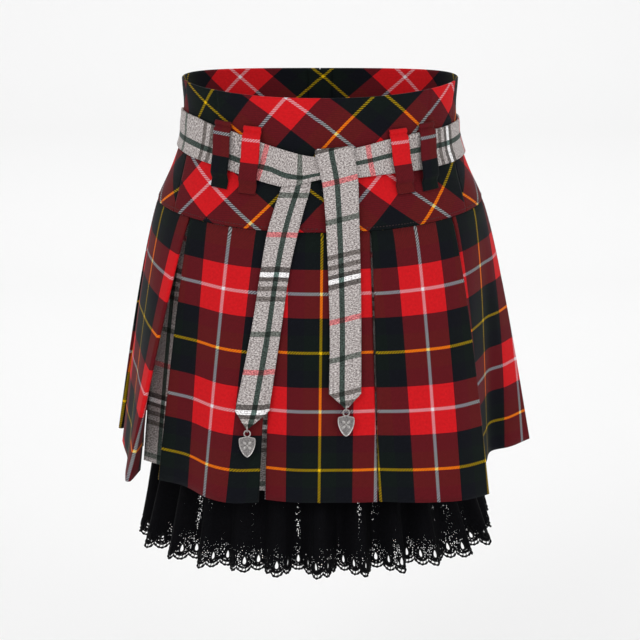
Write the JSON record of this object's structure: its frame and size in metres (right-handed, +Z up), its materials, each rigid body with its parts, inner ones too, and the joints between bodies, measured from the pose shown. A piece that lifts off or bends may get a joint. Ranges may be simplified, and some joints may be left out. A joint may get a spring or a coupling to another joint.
{
  "type": "kilt skirt",
  "caption": "Short flared kilt skirt with a bias-cut tartan yoke, box-pleat panels over check underlays, a gathered lace underskirt and a tied sash belt with charms.",
  "frame": {"origin": "centre of the waist opening, level with the rim at centre front, where the wearer holds the skirt", "axes": "+Z up, +X to the right of someone facing the front, the front faces -Y"},
  "size_m": [0.4197, 0.3556, 0.4511],
  "materials": {
    "tartan": "twill wool blend, matt",
    "check": "brushed twill, heather grey, matt",
    "lace": "net lace with corded scallops",
    "metal": "antique pewter"
  },
  "bodies": {
    "skirt": {"yoke_front": "tartan", "yoke_back_right": "tartan", "yoke_back_left": "tartan", "panel_front_centre": "tartan", "panel_front_right": "tartan", "panel_side_right": "tartan", "panel_back_side_right": "tartan", "panel_back_right": "tartan", "panel_back_centre": "tartan", "panel_back_left": "tartan", "panel_back_side_left": "tartan", "panel_side_left": "tartan", "panel_front_left": "tartan", "loop_left_outer": "tartan", "loop_left_inner": "tartan", "loop_right_inner": "tartan", "loop_right_outer": "tartan", "loop_back_right": "tartan", "loop_back_left": "tartan", "underlay_after_front_centre": "check", "underlay_after_front_right": "check", "underlay_after_side_right": "check", "underlay_after_back_side_right": "check", "underlay_after_back_right": "check", "underlay_after_back_centre": "check", "underlay_after_back_left": "check", "underlay_after_back_side_left": "check", "underlay_after_side_left": "check", "underlay_after_front_left": "check", "belt_band": "check", "belt_end_right": "check", "belt_end_left": "check", "lace_right": "lace", "lace_left": "lace", "charm_ring_right": "metal", "charm_ring_left": "metal"},
    "right_charm": {"charm_right": "metal"},
    "left_charm": {"charm_left": "metal"}
  },
  "joints": [
    {"name": "right_charm_swing", "type": "hinge", "parent": "skirt", "child": "right_charm", "pos_m": [0.0244, -0.15648, -0.28059], "axis": [-1, 0, 0], "range_deg": [0, 70]},
    {"name": "left_charm_swing", "type": "hinge", "parent": "skirt", "child": "left_charm", "pos_m": [-0.068, -0.15779, -0.3006], "axis": [-1, 0, 0], "range_deg": [0, 70]}
  ]
}
